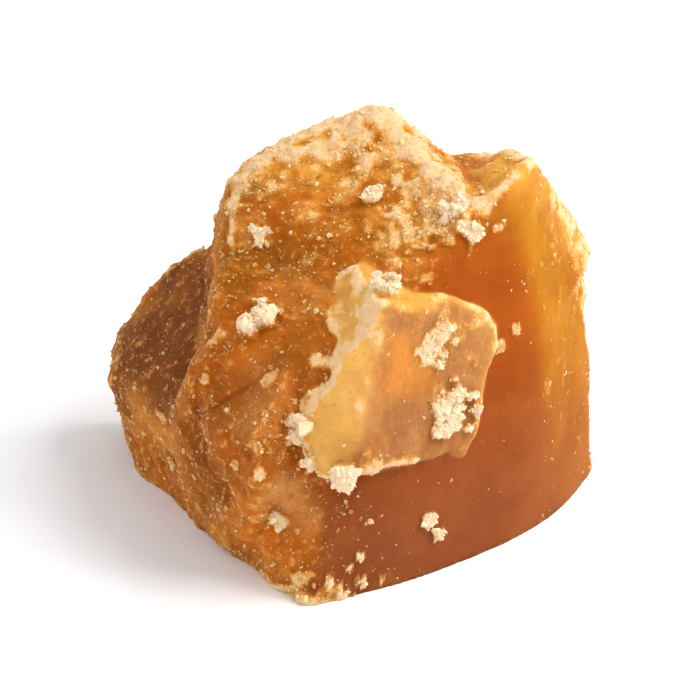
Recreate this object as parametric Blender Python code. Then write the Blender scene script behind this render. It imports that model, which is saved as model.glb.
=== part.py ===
"""A jaggery block: one lump of set cane sugar, broken by hand from a larger cake.

The block is a stack of break planes round a heart point. Along any ray from the heart the
surface lies at the nearest break plane, with the edge between two planes rounded off. Four
bodies of this kind grow into one another: the core, a peak left standing at its right end,
a ledge low on its left and a flake still stuck to the smooth split in front. Rough breaks
are then humped and hollowed. Metres, +Z up, the front of the block faces -Y.
"""

import math
from collections import namedtuple

import bmesh
import bpy
import numpy as np

NODE = "jaggery_block"
HEART_HEIGHT = 0.0130  # of the heart point above the surface the block rests on
SIDE_STEPS = 28  # quads along each side of the six square patches the block is laid out on
JOINING = 40  # power that blends two bodies where they meet: higher makes a sharper valley
HUMPS = (  # (size across, height) of the humps and hollows of a rough break
    (0.0065, 0.0009),
    (0.0028, 0.0005),
)
SHARP_ANGLE = math.radians(50)  # edges bent more than this are shaded sharp
LATTICE = 32  # corners along each side of the repeating lattice of random heights
SEED = 7

COLOUR = (0.52, 0.17, 0.035, 1.0)  # amber brown, linear
ROUGHNESS = 0.55

# one break plane: where it faces round Z and its rise above level in degrees, its distance
# from the heart in metres and how rough the break is, 0 to 1
Break = namedtuple("Break", "facing rise reach rough")
# one body: its break planes, the power that rounds its edges and, for a body that stands
# out of the core, the way it points and the girth of the paraboloid that closes it behind
Body = namedtuple("Body", "edge breaks facing rise girth", defaults=(None, None, None))

# planes that two bodies share, so that one face runs on over both
SPLIT_MIDDLE = Break(facing=-54, rise=9.5, reach=0.0085, rough=0.0)
SPLIT_FAR = Break(facing=-42, rise=5, reach=0.0107, rough=0.0)
RIGHT_END = Break(facing=-24, rise=7, reach=0.0125, rough=0.15)
FRONT_SLOPE = Break(facing=238, rise=58, reach=0.0078, rough=0.8)
LOWER_LEFT = Break(facing=212, rise=-9, reach=0.0120, rough=0.9)
BACK_RIGHT = Break(facing=78, rise=-9, reach=0.0136, rough=0.8)
BELOW = Break(facing=0, rise=-90, reach=0.0145, rough=0.1)  # below the flat underside

CORE = Body(
    edge=26,
    breaks=(
        Break(facing=-68, rise=7, reach=0.0095, rough=0.05),  # near end of the split
        SPLIT_MIDDLE,
        SPLIT_FAR,
        RIGHT_END,
        FRONT_SLOPE,
        Break(facing=238, rise=14, reach=0.0091, rough=0.9),  # near left side
        LOWER_LEFT,
        Break(facing=180, rise=18, reach=0.0102, rough=1.0),  # upper left side
        Break(facing=152, rise=44, reach=0.0139, rough=0.9),  # upper left corner
        Break(facing=112, rise=46, reach=0.0156, rough=0.9),  # back slope, left
        Break(facing=46, rise=44, reach=0.0166, rough=0.9),  # back slope, right
        Break(facing=20, rise=50, reach=0.0142, rough=0.9),  # right shoulder of the top
        BACK_RIGHT,
        Break(facing=116, rise=2, reach=0.0134, rough=0.8),  # back, left
        Break(facing=26, rise=-2, reach=0.0190, rough=0.5),  # back right corner
        BELOW,
    ),
)

PEAK = Body(
    edge=26,
    breaks=(
        SPLIT_MIDDLE,
        SPLIT_FAR,
        RIGHT_END,
        FRONT_SLOPE,
        BACK_RIGHT,
        Break(facing=46, rise=44, reach=0.0176, rough=0.8),  # back
        Break(facing=20, rise=25, reach=0.0186, rough=0.8),  # right back corner
        Break(facing=90, rise=60, reach=0.0138, rough=0.8),  # top
        Break(facing=165, rise=55, reach=0.0046, rough=0.8),  # left
    ),
    facing=22,
    rise=42,
    girth=0.0034,
)

LEDGE = Body(
    edge=26,
    breaks=(
        Break(facing=197, rise=43, reach=0.0067, rough=0.4),  # top
        LOWER_LEFT,
        Break(facing=188, rise=-14, reach=0.0168, rough=0.8),  # end
        Break(facing=130, rise=10, reach=0.0176, rough=0.9),  # back
        BELOW,
    ),
    facing=184,
    rise=-12,
    girth=0.0060,
)

FLAKE = Body(
    edge=36,
    breaks=(
        Break(facing=-50, rise=9, reach=0.0094, rough=0.35),  # face
        Break(facing=243, rise=24, reach=0.0096, rough=0.45),  # left side
        Break(facing=17, rise=-20, reach=0.0076, rough=0.5),  # right edge
        Break(facing=-72, rise=-63, reach=0.0082, rough=0.5),  # lower edge
        Break(facing=18, rise=71, reach=0.0078, rough=0.5),  # upper edge, left
        Break(facing=25, rise=57, reach=0.0079, rough=0.5),  # upper edge, right
        Break(facing=27, rise=38, reach=0.0083, rough=0.5),  # upper right corner
        Break(facing=202, rise=33, reach=0.0056, rough=0.5),  # upper left edge
    ),
    facing=-52,
    rise=8,
    girth=0.0050,
)


def heading(facing, rise):
    """Unit vector of a facing and a rise in degrees."""
    round_z, up = math.radians(facing), math.radians(rise)
    return np.array((math.cos(round_z) * math.cos(up), math.sin(round_z) * math.cos(up), math.sin(up)))


def body_reach(rays, body):
    """Distance along each ray to the body's nearest surface, and how rough the break is there.

    The distance is a p-norm of 1/distance over the break planes, so p rounds the edges.
    """
    nearness = [np.maximum(rays @ heading(b.facing, b.rise), 0) / b.reach for b in body.breaks]
    rough = [b.rough for b in body.breaks]
    if body.girth:
        nearness.append((1 - rays @ heading(body.facing, body.rise)) / body.girth)
        rough.append(1)
    shares = np.power(nearness, body.edge)
    total = shares.sum(axis=0)
    return total ** (-1 / body.edge), rough @ shares / total


def lattice_noise(points, cell, seed):
    """Smooth noise, -1 to 1: random heights at a cubic lattice's corners, blended by a quintic."""
    heights = np.random.default_rng(seed).uniform(-1, 1, (LATTICE, LATTICE, LATTICE))
    scaled = points / cell
    corner = np.floor(scaled).astype(int)
    along = scaled - corner
    along = along**3 * (along * (along * 6 - 15) + 10)
    total = 0
    for step in np.ndindex(2, 2, 2):
        weight = np.prod(np.where(step, along, 1 - along), axis=-1)
        near = (corner + step) % LATTICE
        total = total + weight * heights[near[:, 0], near[:, 1], near[:, 2]]
    return total


def block_points(rays):
    """The block's surface along rays from its heart, before its underside is cut flat."""
    found = [body_reach(rays, body) for body in (CORE, PEAK, LEDGE, FLAKE)]
    reaches = np.array([reach for reach, _ in found])
    longest = reaches.max(axis=0)
    shares = (reaches / longest) ** JOINING
    reach = longest * shares.sum(axis=0) ** (1 / JOINING)
    rough = np.sum(shares * [rough for _, rough in found], axis=0) / shares.sum(axis=0)
    smooth_points = rays * reach[:, None]
    for number, (across, height) in enumerate(HUMPS):
        reach = reach + rough * height * lattice_noise(smooth_points, across, SEED + number)
    return rays * reach[:, None] + (0, 0, HEART_HEIGHT)


def clear_scene():
    for thing in list(bpy.data.objects):
        bpy.data.objects.remove(thing)


def make_jaggery():
    """Amber set sugar: dull, not metallic."""
    jaggery = bpy.data.materials.new("jaggery")
    jaggery.use_nodes = True
    shader = jaggery.node_tree.nodes["Principled BSDF"]
    shader.inputs["Base Color"].default_value = COLOUR
    shader.inputs["Roughness"].default_value = ROUGHNESS
    shader.inputs["Metallic"].default_value = 0.0
    jaggery.diffuse_color = COLOUR
    return jaggery


def cut_flat(shape):
    """Cut away what lies below z = 0 and close the cut with one flat face."""
    everything = shape.verts[:] + shape.edges[:] + shape.faces[:]
    bmesh.ops.bisect_plane(shape, geom=everything, plane_no=(0, 0, 1), clear_inner=True)
    rim = [edge for edge in shape.edges if edge.is_boundary]
    bmesh.ops.edgeloop_fill(shape, edges=rim)
    bmesh.ops.recalc_face_normals(shape, faces=shape.faces[:])


def centre(shape):
    """Move the shape sideways so that the middle of its bounds is over the origin."""
    points = np.array([corner.co for corner in shape.verts])
    middle = (points.min(axis=0) + points.max(axis=0)) / 2
    bmesh.ops.translate(shape, verts=shape.verts[:], vec=(-middle[0], -middle[1], 0))


def make_block(group):
    mesh = bpy.data.meshes.new(NODE)
    shape = bmesh.new()
    bmesh.ops.create_cube(shape, size=2)
    bmesh.ops.subdivide_edges(shape, edges=shape.edges[:], cuts=SIDE_STEPS - 1, use_grid_fill=True)
    rays = np.array([corner.co for corner in shape.verts])
    rays = np.tan(rays * math.pi / 4)  # even steps of angle
    rays /= np.linalg.norm(rays, axis=1, keepdims=True)
    for corner, point in zip(shape.verts, block_points(rays)):
        corner.co = point
    cut_flat(shape)
    centre(shape)
    shape.to_mesh(mesh)
    shape.free()
    mesh.shade_smooth()
    mesh.set_sharp_from_angle(angle=SHARP_ANGLE)
    mesh.materials.append(make_jaggery())
    group.objects.link(bpy.data.objects.new(NODE, mesh))


def main():
    clear_scene()
    group = bpy.data.collections.new(NODE)
    bpy.context.scene.collection.children.link(group)
    make_block(group)


main()
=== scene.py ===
import math
from collections import namedtuple

import bpy
import numpy as np
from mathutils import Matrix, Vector


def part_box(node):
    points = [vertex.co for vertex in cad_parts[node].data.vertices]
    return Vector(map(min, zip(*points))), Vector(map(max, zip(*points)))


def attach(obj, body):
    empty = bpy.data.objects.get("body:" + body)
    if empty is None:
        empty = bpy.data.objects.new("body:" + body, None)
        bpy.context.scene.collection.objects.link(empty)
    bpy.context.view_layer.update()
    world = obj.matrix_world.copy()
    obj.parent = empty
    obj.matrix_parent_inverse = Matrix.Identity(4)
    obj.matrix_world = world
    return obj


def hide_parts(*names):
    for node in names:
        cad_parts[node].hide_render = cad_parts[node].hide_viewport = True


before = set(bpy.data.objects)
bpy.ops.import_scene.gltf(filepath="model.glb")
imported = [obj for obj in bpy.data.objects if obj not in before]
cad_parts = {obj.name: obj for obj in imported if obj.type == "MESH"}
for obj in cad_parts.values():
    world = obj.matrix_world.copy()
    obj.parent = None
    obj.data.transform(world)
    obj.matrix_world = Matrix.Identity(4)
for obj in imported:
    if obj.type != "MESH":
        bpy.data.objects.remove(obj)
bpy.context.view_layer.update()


# ---- The lump ----
# One piece of set cane sugar, broken by hand from a larger cake. It split cleanly in front, where it
# is smooth and waxy, and crumbled everywhere else. Dry sugar has bloomed pale along its broken edges.
Break = namedtuple("Break", "facing rise reach rough bloom tint")
Body = namedtuple("Body", "edge shade breaks facing rise girth", defaults=(None, None, None))
Spot = namedtuple("Spot", "facing rise width height white", defaults=(1,))
Tone = namedtuple("Tone", "facing rise width part tint clear", defaults=(1,))

SIENNA = (0.385, 0.080, 0.008)  # clean split, high up
RUSSET = (0.330, 0.078, 0.009)  # clean split, near the foot
COPPER = (0.425, 0.110, 0.007)  # between the clean split and the thin right end
GOLD = (0.465, 0.176, 0.009)  # thin right end, painted with the glow of light coming through it
AMBER = (0.500, 0.150, 0.010)  # rough breaks that face up into the light, painted lighter as the lit copy of TOFFEE
TOFFEE = (0.440, 0.122, 0.013)  # rough breaks low on the left, painted darker as the shaded copy of AMBER
UMBER_SHADE = (0.190, 0.054, 0.015)  # face of the ledge: deeper brown sugar, darkened further with painted shade
BISTRE_SHADE = (0.230, 0.052, 0.003)  # dark places low on the left: darker clear sugar with painted shade
HONEY_LIT = (0.970, 0.600, 0.160)  # left side of the flake: paler sugar, painted brighter still as a lit facet
TAN = (0.475, 0.200, 0.063)  # face of the flake
STRAW = (0.780, 0.400, 0.080)  # broken edges of the flake and the peak
EMBER = (0.560, 0.142, 0.009)  # clear orange places
OCHRE = (0.360, 0.112, 0.005)  # clear brown-yellow places
APRICOT = (0.740, 0.330, 0.090)  # paler places among the clear orange ones
MARIGOLD = (0.720, 0.270, 0.040)  # warm gold on the flake
GLOW_GOLD = (0.780, 0.350, 0.040)  # paler gold painted as light: glow through the ridge of the peak and light falling on the top of the hump
CARAMEL = (0.520, 0.185, 0.045)  # milky brown between the ledge and the flake
BISCUIT = (0.420, 0.180, 0.068)  # dry tan on the flake
MAUVE_SHADE = (0.265, 0.086, 0.033)  # painted shade on the split towards the foot, darker and duller, with a dull painted reflection of the floor

SPLIT_MIDDLE = Break(-54, 9.5, 0.0085, 0.0, 0.0, SIENNA)
SPLIT_FAR = Break(-42, 5, 0.0107, 0.0, 0.0, SIENNA)
RIGHT_END = Break(-24, 7, 0.0125, 0.12, 0.05, COPPER)
FRONT_SLOPE = Break(238, 58, 0.0078, 0.8, 0.6, AMBER)
LOWER_LEFT = Break(212, -9, 0.0120, 0.9, 0.2, TOFFEE)
BACK_RIGHT = Break(78, -9, 0.0136, 0.8, 0.3, AMBER)
BELOW = Break(0, -90, 0.0145, 0.1, 0.0, TOFFEE)

CORE = Body(26, 11, (
    Break(-68, 7, 0.0095, 0.05, 0.1, RUSSET),
    SPLIT_MIDDLE,
    SPLIT_FAR,
    RIGHT_END,
    FRONT_SLOPE,
    Break(238, 14, 0.0091, 0.9, 0.25, TOFFEE),
    LOWER_LEFT,
    Break(180, 18, 0.0102, 1.0, 0.1, TOFFEE),
    Break(152, 44, 0.0139, 0.9, 0.7, AMBER),
    Break(112, 46, 0.0156, 0.9, 0.55, AMBER),
    Break(46, 44, 0.0166, 0.9, 0.55, AMBER),
    Break(20, 50, 0.0142, 0.9, 0.8, AMBER),
    BACK_RIGHT,
    Break(116, 2, 0.0134, 0.8, 0.3, AMBER),
    Break(26, -2, 0.0190, 0.5, 0.5, AMBER),
    BELOW,
))
PEAK = Body(26, 8, (
    SPLIT_MIDDLE,
    SPLIT_FAR,
    RIGHT_END,
    FRONT_SLOPE,
    BACK_RIGHT,
    Break(46, 44, 0.0176, 0.8, 0.4, STRAW),
    Break(20, 25, 0.0186, 0.8, 0.5, STRAW),
    Break(90, 60, 0.0138, 0.8, 0.15, STRAW),
    Break(165, 55, 0.0046, 0.8, 0.1, STRAW),
), facing=22, rise=42, girth=0.0034)
LEDGE = Body(26, 12, (
    Break(197, 43, 0.0067, 0.4, 0.0, TOFFEE),
    LOWER_LEFT,
    Break(188, -14, 0.0168, 0.8, 0.2, TOFFEE),
    Break(130, 10, 0.0176, 0.9, 0.3, AMBER),
    BELOW,
), facing=184, rise=-12, girth=0.0060)
FLAKE = Body(36, 26, (
    Break(-50, 9, 0.0094, 0.35, 0.15, TAN),
    Break(243, 24, 0.0096, 0.45, 0.3, HONEY_LIT),
    Break(17, -20, 0.0076, 0.5, 0.5, STRAW),
    Break(-72, -63, 0.0082, 0.5, 0.3, TAN),
    Break(18, 71, 0.0078, 0.5, 0.2, STRAW),
    Break(25, 57, 0.0079, 0.5, 0.6, STRAW),
    Break(27, 38, 0.0083, 0.5, 0.7, STRAW),
    Break(202, 33, 0.0056, 0.5, 0.9, HONEY_LIT),
), facing=-52, rise=8, girth=0.0050)

# white crumbs and patches of dry sugar that stuck to the lump
SPOTS = (
    Spot(216, 34, 0.0014, 0.0009),  # crumb where the hump meets the ledge
    Spot(164, 52, 0.0007, 0.0002),  # upper left of the hump
    Spot(48, 76, 0.0008, 0.0003),  # middle of the hump
    Spot(352, 58, 0.0032, 0.0001, 0.3),  # hump, above the split
    Spot(354, 57, 0.0011, 0.0002),
    Spot(345, 51, 0.0009, 0.0003),
    Spot(292, 52, 0.0008, 0.0005),  # tip of the flake
    Spot(291, 47, 0.0010, 0.0006),
    Spot(313, 25, 0.0018, 0.0001, 0.6),  # top of the flake's face
    Spot(314, 25, 0.0007, 0.0002),
    Spot(317, -9, 0.0020, 0.0004),  # lower right of the flake's face
    Spot(253, -4, 0.0012, 0.0003),  # lower left corner of the flake
    Spot(259, -12, 0.0010, 0.0006),  # two crumbs below it
    Spot(270, -12, 0.0009, 0.0006),
    Spot(246, -33, 0.0009, 0.0002, 0.6),  # near left side, low down
    Spot(238, 12, 0.0007, 0.0001, 0.3),  # small ones on the left
    Spot(208, 3, 0.0005, 0.0001, 0.3),
    Spot(224, -3, 0.0005, 0.0001, 0.3),
    Spot(242, -15, 0.0006, 0.0001, 0.3),
    Spot(233, -16, 0.0004, 0.0001, 0.3),
    Spot(177, -24, 0.0007, 0.0001, 0.3),
    Spot(180, -38, 0.0005, 0.0001, 0.4),
    Spot(346, 9, 0.0005, 0.0001, 0.3),  # beside the flake's upper right corner
    Spot(352, 12, 0.0004, 0.0001, 0.3),
    Spot(306, -41, 0.0008, 0.0002),  # clean split
    Spot(308, -45, 0.0006, 0.0002),
    Spot(277, -36, 0.0004, 0.0001, 0.5),
    Spot(275, -42, 0.0005, 0.0001, 0.7),
    Spot(242, -48, 0.0008, 0.0001, 0.2),  # near corner, along the foot
    Spot(249, -47, 0.0009, 0.0001, 0.4),
    Spot(254, -46, 0.0024, 0.0001, 0.1),
    Spot(264, -47, 0.0020, 0.0001, 0.1),
    Spot(256, -42, 0.0007, 0.0001, 0.3),
    Spot(264, -43, 0.0005, 0.0001, 0.5),
    Spot(268, -46, 0.0006, 0.0001, 0.4),
    Spot(271, -43, 0.0004, 0.0001, 0.5),
    Spot(275, -46, 0.0005, 0.0001, 0.5),
    Spot(282, -48, 0.0004, 0.0001, 0.4),
)
SPRINKLED = Spot(280, -40, 0.0065, 0)  # part of the split with loose crumbs

# places where the rough breaks are of another colour; some of these are painted shade, painted glow or painted light
TONES = (
    Tone(160, -8, 0.0095, 0.9, UMBER_SHADE),  # top of the ledge, deeper brown with painted shade
    Tone(211, -28, 0.0052, 0.85, BISTRE_SHADE),  # painted shade below the ledge
    Tone(240, -38, 0.0045, 0.8, EMBER),  # near corner, low down
    Tone(250, -27, 0.0032, 0.9, APRICOT, 0),  # below the flake's lower left corner
    Tone(296, 20, 0.0040, 0.7, MARIGOLD),  # left part of the flake's face
    Tone(292, -4, 0.0030, 0.7, BISCUIT),  # lower part of the flake's face
    Tone(175, 38, 0.0040, 0.9, OCHRE),  # left side of the hump
    Tone(345, 60, 0.0035, 0.7, EMBER),  # hump, near the split
    Tone(4, 45, 0.0042, 1.0, GLOW_GOLD),  # ridge of the peak, painted glow of light coming through
    Tone(105, 66, 0.0040, 0.7, GLOW_GOLD, 0),  # top of the hump, painted light where the light falls
    Tone(60, 66, 0.0030, 0.6, GLOW_GOLD, 0),
    Tone(350, 63, 0.0026, 0.6, GLOW_GOLD, 0),
    Tone(280, 62, 0.0035, 0.4, EMBER),  # hump, above the flake
    Tone(238, 6, 0.0042, 0.7, CARAMEL),  # between the ledge and the flake
)

# patches of clearer or paler sugar all over the rough breaks: (size across, part, tint, seed)
MOTTLES = (
    (0.0045, 0.6, OCHRE, 61),
    (0.0032, 0.6, EMBER, 62),
    (0.0022, 0.5, MARIGOLD, 63),
)

HEART_HEIGHT = 0.0130
JOINING = 40  # power that blends two bodies where they meet
TINT_JOINING = 150  # the same for their colours
RIM_EDGE = 38  # higher power, for thin pale rims
FOOT_EDGE = 0.0004  # points this little below the underside only move straight up
SIDE_STEPS = 128
LEAN = 0.25  # how far the rays lean upwards, away from the hidden underside
SEED = 7
HUMPS = ((0.0065, 0.0009), (0.0028, 0.0005))  # (size across, height) on rough breaks
CHIPS = ((0.0016, 0.00026), (0.0007, 0.00014))
GRAINS = ((0.0012, 0.00022), (0.0006, 0.00019), (0.00036, 0.00010))  # (spacing, height) of sugar grains
LATTICE = 32
WOBBLE_ACROSS = 0.16  # ragged outline of the flake, as parts of its reach
WOBBLE = 0.035


def heading(facing, rise):
    """Unit vector of a facing and a rise in degrees."""
    round_z, up = math.radians(facing), math.radians(rise)
    return np.array((math.cos(round_z) * math.cos(up), math.sin(round_z) * math.cos(up), math.sin(up)))


def body_surface(rays, body):
    """Reach of a body along each ray, as a p-norm of 1/distance over its break planes.

    With it come the roughness, bloom and tint of the planes, shared out by a lower power so that colours
    run softly over the edges, and how near the ray is to an edge: one less the sum of squared shares by
    a higher power.
    """
    nearness = [np.maximum(rays @ heading(b.facing, b.rise), 0) / b.reach for b in body.breaks]
    looks = [(b.rough, b.bloom, *b.tint) for b in body.breaks]
    if body.girth:
        nearness.append((1 - rays @ heading(body.facing, body.rise)) / body.girth)
        looks.append((1, 0.5, *AMBER))
    nearness = np.array(nearness)
    shares = nearness**body.shade
    narrow = nearness**RIM_EDGE
    rim = 1 - np.sum((narrow / narrow.sum(axis=0)) ** 2, axis=0)
    looks = np.transpose(looks) @ (shares / shares.sum(axis=0))
    return (nearness**body.edge).sum(axis=0) ** (-1 / body.edge), np.vstack((looks, rim))


def lattice_noise(points, cell, seed):
    """Smooth noise, -1 to 1: random heights at a cubic lattice's corners, blended by a quintic."""
    heights = np.random.default_rng(seed).uniform(-1, 1, (LATTICE, LATTICE, LATTICE))
    scaled = points / cell
    corner = np.floor(scaled).astype(int)
    along = scaled - corner
    along = along**3 * (along * (along * 6 - 15) + 10)
    total = 0
    for step in np.ndindex(2, 2, 2):
        weight = np.prod(np.where(step, along, 1 - along), axis=-1)
        near = (corner + step) % LATTICE
        total = total + weight * heights[near[:, 0], near[:, 1], near[:, 2]]
    return total


def grain_domes(points, spacing, seed):
    """Heights, 0 to 1, of domes round random centres: one less the squared distance to the nearest."""
    centres = np.random.default_rng(seed).uniform(0, 1, (LATTICE, LATTICE, LATTICE, 3))
    scaled = points / spacing
    corner = np.floor(scaled).astype(int)
    nearest = np.full(len(points), 9.0)
    for step in np.ndindex(3, 3, 3):
        cell = corner + step - 1
        wrapped = cell % LATTICE
        centre = cell + centres[wrapped[:, 0], wrapped[:, 1], wrapped[:, 2]]
        nearest = np.minimum(nearest, np.sum((scaled - centre) ** 2, axis=-1))
    return np.maximum(1 - nearest, 0)


def cube_grid(steps):
    """Rays through an even grid on the six sides of a cube, merged where sides meet, and its quads."""
    i, j = (a.ravel() for a in np.meshgrid(np.arange(steps + 1), np.arange(steps + 1), indexing="ij"))
    start = (np.arange(steps)[:, None] * (steps + 1) + np.arange(steps)).ravel()
    quad = np.stack((start, start + steps + 1, start + steps + 2, start + 1), axis=1)
    sides, quads = [], []
    for axis in range(3):
        for far in (0, 1):
            side = np.empty((len(i), 3), int)
            side[:, axis] = far * steps
            side[:, (axis + 1) % 3] = i
            side[:, (axis + 2) % 3] = j
            sides.append(side)
            turned = quad if far else quad[:, ::-1]
            quads.append(turned + len(i) * len(quads))
    corners, merged = np.unique(np.concatenate(sides), axis=0, return_inverse=True)
    rays = np.tan((2 * corners / steps - 1) * math.pi / 4)
    rays /= np.linalg.norm(rays, axis=1, keepdims=True)
    return rays, merged.ravel()[np.concatenate(quads)]


def smoothstep(low, high, value):
    part = np.clip((value - low) / (high - low), 0, 1)
    return part * part * (3 - 2 * part)


def unit(vectors):
    return vectors / np.linalg.norm(vectors, axis=1, keepdims=True)


def gather(values):
    """Sum, at every point, of what its quads carry."""
    return np.stack([np.bincount(quads.ravel(), np.repeat(column, 4), len(rays)) for column in values.T], axis=1)


def outward(points):
    """Unit normals at the points, from the cross products of their quads' diagonals."""
    return unit(gather(np.cross(points[quads[:, 2]] - points[quads[:, 0]], points[quads[:, 3]] - points[quads[:, 1]])))


def bulges(points, times):
    """How far each point stands out of the surface around it, evened out over quads so many times."""
    uses = gather(np.ones((len(quads), 1)))
    level = points
    for _ in range(times):
        level = gather(level[quads].mean(axis=1)) / uses
    return np.sum((points - level) * outward(points), axis=1)


rays, quads = cube_grid(SIDE_STEPS)
rays = unit(rays + (0, 0, LEAN))
wobble = np.stack([lattice_noise(rays, WOBBLE_ACROSS, 51 + axis) for axis in range(3)], axis=1)
found = [body_surface(rays, body) for body in (CORE, PEAK, LEDGE)]
found.append(body_surface(unit(rays + WOBBLE * wobble), FLAKE))
reaches = np.array([reach for reach, _ in found])
longest = reaches.max(axis=0)
shares = (reaches / longest) ** JOINING
reach = longest * shares.sum(axis=0) ** (1 / JOINING)
tint_shares = (reaches / longest) ** TINT_JOINING
tint_shares /= tint_shares.sum(axis=0)
rough, bloom, *tint, rim = np.einsum("bn,bkn->kn", tint_shares, np.array([looks for _, looks in found]))
tint = np.stack(tint, axis=1)

plain = rays * reach[:, None]
foot = smoothstep(0.004, -0.011, plain[:, 2])
# painted shade: smooth faces turn darker and duller towards the foot
foot_shade = 0.7 * (1 - rough) * foot
tint += foot_shade[:, None] * (np.array(MAUVE_SHADE) - tint)
for across, part, patch_tint, seed in MOTTLES:
    part = part * smoothstep(0.0, 0.6, lattice_noise(plain, across, seed)) * smoothstep(0.3, 0.8, rough)
    tint += part[:, None] * (np.array(patch_tint) - tint)
turn = np.degrees(np.arctan2(rays[:, 1], rays[:, 0])) + 3 * lattice_noise(plain, 0.004, 71)
side = (1 - foot) * smoothstep(5, 13, turn) * smoothstep(60, 40, turn) * smoothstep(0.60, 0.45, rays[:, 2])
# painted glow: light coming through the thin right end, as a golden strip by facing on the smooth faces, weaker near
# the foot
thin = (0.95 - 0.80 * foot) * smoothstep(-7, 2, turn) * smoothstep(60, 40, turn) * smoothstep(0.45, 0.20, rough)
tint += thin[:, None] * (np.array(GOLD) - tint)
clear = np.zeros(len(rays))
for tone in TONES:
    centre = plain[np.argmax(rays @ heading(tone.facing, tone.rise))]
    drift = 0.5 * lattice_noise(plain, 0.0025, 27)
    part = tone.part * smoothstep(0.0, 0.8, 1 + drift - np.linalg.norm(plain - centre, axis=1) / tone.width)
    part *= smoothstep(0.1, 0.4, rough)
    tint += part[:, None] * (np.array(tone.tint) - tint)
    clear = np.maximum(clear, tone.clear * part)
for number, (across, height) in enumerate(HUMPS):
    reach = reach + rough * height * lattice_noise(plain, across, SEED + number)
lift = (0.05 + 0.95 * rough) * sum(height * lattice_noise(plain, across, 31 + number)
                                   for number, (across, height) in enumerate(CHIPS))

# how near each point is to a spot, 0 to 1, with a ragged outline
ragged = 0.5 * lattice_noise(plain, 0.0013, 25) + 0.4 * lattice_noise(plain, 0.0006, 26)
dry = np.zeros(len(rays))
white = np.zeros(len(rays))
for spot in SPOTS:
    centre = plain[np.argmax(rays @ heading(spot.facing, spot.rise))]
    closeness = smoothstep(0.0, 0.45, 1 + ragged - np.linalg.norm(plain - centre, axis=1) / spot.width)
    lift = lift + spot.height * closeness * (1 + 0.6 * ragged)
    dry = np.maximum(dry, (0.6 + 0.4 * spot.white) * closeness)
    white = np.maximum(white, spot.white * closeness)
points = rays * reach[:, None]
out = outward(points)
points += out * lift[:, None]

# dry bloom: most where the surface bulges and high up, in patches
patches = sum(part * lattice_noise(plain, across, seed)
              for across, part, seed in ((0.0036, 0.45, 21), (0.0015, 0.40, 22), (0.0007, 0.45, 23)))
high_up = smoothstep(0.001, 0.013, plain[:, 2])
edge = bulges(points, 24) / 0.00030
crust = bloom * (0.05 + 0.80 * high_up) + 0.22 * tint_shares[3] + np.clip(edge, -0.5, 1.2) * (0.15 * (1 - foot) + 0.40 * bloom) + 0.42 * patches
crust += (1.1 + 0.9 * patches) * rim * smoothstep(0.15, 0.35, rough) * (0.2 + bloom) * (1 - 0.7 * foot) - 0.45 * clear
seam = 4 * tint_shares[3] * (1 - tint_shares[3]) * smoothstep(0.75, 0.92, rays @ heading(243, 10))
crust += (0.8 + 0.8 * patches) * seam + 0.3 * side
crust = np.maximum(smoothstep(0.15, 0.85, crust), dry)
grains = sum(height * (grain_domes(plain, spacing, 41 + number) - 0.6)
             for number, (spacing, height) in enumerate(GRAINS))
points += out * ((0.02 + 0.6 * rough + 0.38 * crust) * grains + 0.00008 * crust)[:, None]

# flat underside: points well below it are drawn back towards the heart, then all are raised to it
depth = np.maximum(-points[:, 2] - HEART_HEIGHT - FOOT_EDGE, 0)
points *= (HEART_HEIGHT / (HEART_HEIGHT + depth))[:, None]
points[:, 2] += HEART_HEIGHT
shown = points[points[:, 2] > 0]
low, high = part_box("jaggery_block")
middle = (np.array(low) + np.array(high)) / 2
points[:, :2] += middle[:2] - (shown.min(axis=0) + shown.max(axis=0))[:2] / 2
points[:, 2] = np.maximum(points[:, 2], low[2])
fine = bulges(points, 3) / 0.00005


def mesh_piece(name, points, faces, **fields):
    """A smooth-shaded object from arrays of points and faces; fields become point attributes."""
    mesh = bpy.data.meshes.new(name)
    mesh.from_pydata(points, [], faces)
    for field, values in fields.items():
        kind = "FLOAT_COLOR" if values.ndim == 2 else "FLOAT"
        attribute = mesh.attributes.new(field, kind, "POINT")
        if values.ndim == 2:
            values = np.hstack((values, np.ones((len(values), 1))))
            attribute.data.foreach_set("color", values.ravel())
        else:
            attribute.data.foreach_set("value", values)
    mesh.shade_smooth()
    thing = bpy.data.objects.new(name, mesh)
    bpy.context.scene.collection.objects.link(thing)
    return thing


lump = mesh_piece("lump", points, quads, tint=tint, rough=rough, crust=crust, white=white, fine=fine)
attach(lump, "root")
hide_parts("jaggery_block")


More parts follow.
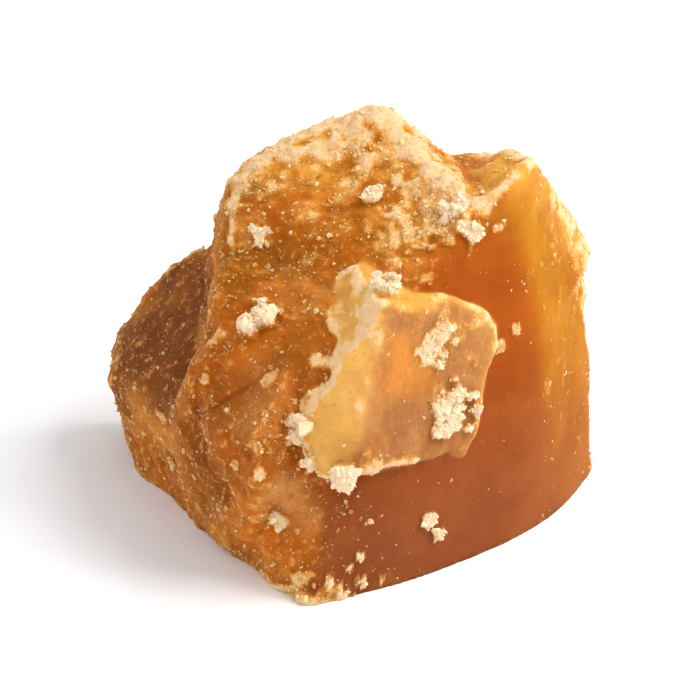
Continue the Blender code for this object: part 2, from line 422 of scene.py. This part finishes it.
class Nodes:
    """A material's node tree, with a short way to add a node and link its inputs."""

    def __init__(self, name):
        self.material = bpy.data.materials.new(name)
        self.material.use_nodes = True
        self.tree = self.material.node_tree
        self.shader = self.tree.nodes["Principled BSDF"]

    def add(self, kind, settings=None, **inputs):
        node = self.tree.nodes.new("ShaderNode" + kind)
        for setting, value in (settings or {}).items():
            setattr(node, setting, value)
        self.feed(node, inputs)
        return node

    def feed(self, node, inputs):
        for name, value in inputs.items():
            socket = node.inputs[int(name[1:])] if name[0] == "_" else node.inputs[name.replace("_", " ")]
            if isinstance(value, bpy.types.NodeSocket):
                self.tree.links.new(value, socket)
            else:
                socket.default_value = value

    def mix(self, factor, first, second, blend="MIX"):
        node = self.add("Mix", {"data_type": "RGBA", "blend_type": blend}, _0=factor, _6=first, _7=second)
        return node.outputs[2]

    def ramp(self, value, low, high, to_low=0.0, to_high=1.0):
        node = self.add("MapRange", {"interpolation_type": "SMOOTHSTEP"}, Value=value,
                        From_Min=low, From_Max=high, To_Min=to_low, To_Max=to_high)
        return node.outputs[0]

    def maths(self, kind, *values):
        return self.add("Math", {"operation": kind}, **{f"_{n}": value for n, value in enumerate(values)}).outputs[0]

    def noise(self, where, size, detail=3.0, rough=0.55):
        return self.add("TexNoise", None, Vector=where, Scale=1 / size, Detail=detail, Roughness=rough).outputs[0]


jaggery = Nodes("jaggery")
where = jaggery.add("TexCoord").outputs["Object"]
tint_in = jaggery.add("Attribute", {"attribute_name": "tint"}).outputs["Color"]
rough_in, crust_in, white_in, fine_in = (
    jaggery.add("Attribute", {"attribute_name": name}).outputs["Fac"] for name in ("rough", "crust", "white", "fine"))

cloud = jaggery.noise(where, 0.0035)
fleck = jaggery.noise(where, 0.0006, 4.0, 0.65)
grit = jaggery.noise(where, 0.00022, 3.0, 0.6)
colour = jaggery.mix(jaggery.ramp(cloud, 0.35, 0.65, 0.0, 0.6), tint_in, (0.75, 0.64, 0.60, 1), "MULTIPLY")
rough_part = jaggery.ramp(rough_in, 0.1, 0.6)
raised = jaggery.maths("MULTIPLY_ADD", fine_in, 0.09, fleck)
flecks = jaggery.maths("MULTIPLY", jaggery.ramp(raised, 0.54, 0.76, 0.0, 0.7), rough_part)
colour = jaggery.mix(flecks, colour, (0.78, 0.40, 0.10, 1))
# painted shade in the hollows: rough breaks turn darker where the surface sinks and the fleck noise is low
sunk = jaggery.maths("MULTIPLY", jaggery.ramp(raised, 0.45, 0.25, 0.0, 0.40), rough_part)
colour = jaggery.mix(sunk, colour, (0.30, 0.070, 0.002, 1))
dry = jaggery.maths("MULTIPLY_ADD", raised, 1.0, jaggery.maths("MULTIPLY_ADD", grit, 0.9, crust_in))
cream = jaggery.mix(jaggery.ramp(dry, 1.40, 2.10), (0.80, 0.42, 0.09, 1), (0.86, 0.60, 0.34, 1))
colour = jaggery.mix(jaggery.ramp(dry, 1.05, 1.95, 0.0, 0.9), colour, cream)
sugary = jaggery.maths("MULTIPLY_ADD", raised, 0.8, white_in)
colour = jaggery.mix(jaggery.ramp(sugary, 0.7, 1.3, 0.0, 0.9), colour, (0.86, 0.65, 0.42, 1))
bump = jaggery.add("Bump", None, Strength=jaggery.ramp(rough_in, 0.0, 0.8, 0.4, 1.0), Distance=0.00014, Height=jaggery.maths("ADD", fleck, grit))
jaggery.feed(jaggery.shader, {
    "Base_Color": colour,
    "Roughness": jaggery.ramp(rough_in, 0.0, 0.8, 0.42, 0.62),
    "Normal": bump.outputs[0],
    "Subsurface_Weight": jaggery.ramp(crust_in, 0.1, 0.9, 1.0, 0.4),
    "Subsurface_Radius": (1.0, 0.40, 0.14),
    "Subsurface_Scale": 0.0009,
    "IOR": 1.48,
    "Specular_IOR_Level": 0.012,
    "Sheen_Weight": jaggery.ramp(rough_in, 0.1, 0.8, 0.0, 0.15),
    "Sheen_Roughness": 0.4,
    "Sheen_Tint": (1.0, 0.80, 0.50, 1),
})
lump.data.materials.append(jaggery.material)


# ---- Crumbs on the lump ----
# Loose sugar that came off when the lump was broken and stuck to its rough sides and edges: single
# grains and small clumps of them, dry and pale.
def grain_shapes(count, rng):
    """Irregular grains: an icosahedron's points, each moved a little, stretched three ways and turned.

    The turn is a random quaternion's rotation matrix. Sizes are about one across.
    """
    golden = (1 + math.sqrt(5)) / 2
    base = np.array([(-1, golden, 0), (1, golden, 0), (-1, -golden, 0), (1, -golden, 0)])
    base = np.vstack((base, base[:, (2, 0, 1)], base[:, (1, 2, 0)])) / math.hypot(1, golden) / 2
    corners = base + rng.normal(0, 0.14, (count, *base.shape))
    corners *= rng.uniform(0.5, 1.2, (count, 1, 3))
    w, x, y, z = rng.normal(size=(4, count))
    size = np.sqrt(w * w + x * x + y * y + z * z)
    w, x, y, z = w / size, x / size, y / size, z / size
    turn = np.array((
        (1 - 2 * (y * y + z * z), 2 * (x * y - z * w), 2 * (x * z + y * w)),
        (2 * (x * y + z * w), 1 - 2 * (x * x + z * z), 2 * (y * z - x * w)),
        (2 * (x * z - y * w), 2 * (y * z + x * w), 1 - 2 * (x * x + y * y)),
    ))
    return np.einsum("ijn,nvj->nvi", turn, corners)


def icosahedron_faces():
    """The twenty triples of an icosahedron's points that lie one edge apart, turned outwards."""
    golden = (1 + math.sqrt(5)) / 2
    base = np.array([(-1, golden, 0), (1, golden, 0), (-1, -golden, 0), (1, -golden, 0)])
    base = np.vstack((base, base[:, (2, 0, 1)], base[:, (1, 2, 0)]))
    apart = np.linalg.norm(base[:, None] - base, axis=2)
    near = np.abs(apart - 2) < 0.01
    i, j, k = np.nonzero(near[:, :, None] & near[:, None, :] & near[None, :, :])
    triples = np.stack((i, j, k), axis=1)[(i < j) & (j < k)]
    a, b, c = (base[triples[:, n]] for n in range(3))
    inward = np.sum(np.cross(b - a, c - a) * a, axis=1) < 0
    triples[inward] = triples[inward][:, ::-1]
    return triples


def joined_grains(name, shapes, **fields):
    """All grains of a kind as one mesh."""
    count, corners = shapes.shape[:2]
    faces = icosahedron_faces()
    faces = (faces + corners * np.arange(count)[:, None, None]).reshape(-1, 3)
    fields = {key: np.repeat(values, corners, axis=0) for key, values in fields.items()}
    piece = mesh_piece(name, shapes.reshape(-1, 3), faces, **fields)
    piece.data.shade_flat()
    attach(piece, "root")
    return piece


def settled(name, weight, count, smallest, largest, sunk, seed):
    """Grains of a kind that lie on the lump, where the chance of one is in step with the weight.

    Most are near the smallest size; a larger one is sunk deeper. Each takes the lump's tint below it.
    """
    rng = np.random.default_rng(seed)
    corner = points[quads]
    area = np.linalg.norm(np.cross(corner[:, 2] - corner[:, 0], corner[:, 3] - corner[:, 1]), axis=1)
    chance = gather(area[:, None])[:, 0] * np.where(points[:, 2] > low[2] + largest / 2, weight, 0)
    chosen = rng.choice(len(points), count, replace=False, p=chance / chance.sum())
    sizes = smallest + (largest - smallest) * rng.uniform(0, 1, count) ** 3
    sizes *= 0.7 + 0.5 * white[chosen]
    centres = points[chosen] + rays[chosen] * sizes[:, None] * (0.5 - sunk)
    pale = np.clip(crust[chosen] * 1.1 + rng.normal(0.2, 0.25, count), 0, 1)
    return joined_grains(name, centres[:, None] + grain_shapes(count, rng) * sizes[:, None, None],
                         tint=tint[chosen], pale=pale, white=white[chosen])


speckle = smoothstep(0.0, 0.7, 0.4 + patches)
centre = plain[np.argmax(rays @ heading(SPRINKLED.facing, SPRINKLED.rise))]
sprinkled = smoothstep(0, 0.6, 1 - np.linalg.norm(plain - centre, axis=1) / SPRINKLED.width) * (1 - rough)
grit_piece = settled("grit", rough * (0.3 + speckle) * (1 - 0.6 * crust) * (1 - 0.95 * tint_shares[3]), 4500, 0.00020, 0.00065, 0.68, 11)
dust = settled("sugar_dust", 0.006 + 0.4 * rough * speckle + 0.6 * crust + 8 * white + 0.15 * sprinkled * speckle, 5000, 0.00011, 0.00034, 0.5, 12)
lumps = settled("sugar_crumbs", 0.0002 + 0.02 * rough + 0.35 * white + 0.015 * sprinkled * speckle, 900, 0.00025, 0.00075, 0.55, 13)

sugar = Nodes("dry_sugar")
where = sugar.add("TexCoord").outputs["Object"]
tint_in, pale_in, white_in = (
    sugar.add("Attribute", {"attribute_name": name}).outputs[output]
    for name, output in (("tint", "Color"), ("pale", "Fac"), ("white", "Fac")))
grit = sugar.noise(where, 0.00015)
colour = sugar.mix(0.5, tint_in, (0.66, 0.32, 0.10, 1))
colour = sugar.mix(sugar.ramp(sugar.maths("MULTIPLY_ADD", grit, 0.4, pale_in), 0.2, 0.9), colour, (0.80, 0.54, 0.25, 1))
colour = sugar.mix(sugar.ramp(white_in, 0.2, 0.8), colour, (0.88, 0.67, 0.44, 1))
sugar.feed(sugar.shader, {
    "Base_Color": colour,
    "Roughness": 0.55,
    "Subsurface_Weight": 0.3,
    "Subsurface_Radius": (1.0, 0.5, 0.25),
    "Subsurface_Scale": 0.0001,
    "Specular_IOR_Level": 0.25,
})
for piece in (grit_piece, dust, lumps):
    piece.data.materials.append(sugar.material)


# ---- Floor, light and camera ----
# A plain white sweep, a broad soft light high on the right, a softer one in front and a long lens
# that looks down at the block.
def area_light(name, size, power, place, target, colour=(1, 1, 1)):
    lamp = bpy.data.lights.new(name, "AREA")
    lamp.size = size
    lamp.energy = power
    lamp.color = colour
    thing = bpy.data.objects.new(name, lamp)
    thing.location = place
    thing.rotation_mode = "QUATERNION"
    thing.rotation_quaternion = (Vector(target) - Vector(place)).to_track_quat("-Z", "Y")
    bpy.context.scene.collection.objects.link(thing)


FLOOR_SIZE = 3.0
floor = mesh_piece("floor", np.array(((-1, -1, 0), (1, -1, 0), (1, 1, 0), (-1, 1, 0))) * FLOOR_SIZE / 2,
                   ((0, 1, 2, 3),))
paper = Nodes("white_paper")
paper.feed(paper.shader, {"Base_Color": (0.93, 0.93, 0.94, 1), "Roughness": 0.7})
floor.data.materials.append(paper.material)

target = Vector((middle[0], middle[1], 0.0125))
area_light("key", 0.30, 2.6, target + Vector((0.34, -0.02, 0.38)), target)
area_light("fill", 0.40, 0.5, target + Vector((-0.25, -0.45, 0.25)), target)

world = bpy.data.worlds.new("studio")
world.use_nodes = True
world.node_tree.nodes["Background"].inputs["Color"].default_value = (1, 1, 1, 1)
world.node_tree.nodes["Background"].inputs["Strength"].default_value = 0.72
bpy.context.scene.world = world
bpy.context.scene.view_settings.view_transform = "Standard"

CAMERA_RISE = math.radians(30)
CAMERA_DISTANCE = 0.45
lens = bpy.data.cameras.new("camera")
lens.lens = 330
lens.clip_start = 0.01
camera = bpy.data.objects.new("camera", lens)
view = Vector((0, -math.cos(CAMERA_RISE), math.sin(CAMERA_RISE)))
camera.location = target + CAMERA_DISTANCE * view
camera.rotation_mode = "QUATERNION"
camera.rotation_quaternion = (-view).to_track_quat("-Z", "Y")
bpy.context.scene.collection.objects.link(camera)
bpy.context.scene.camera = camera
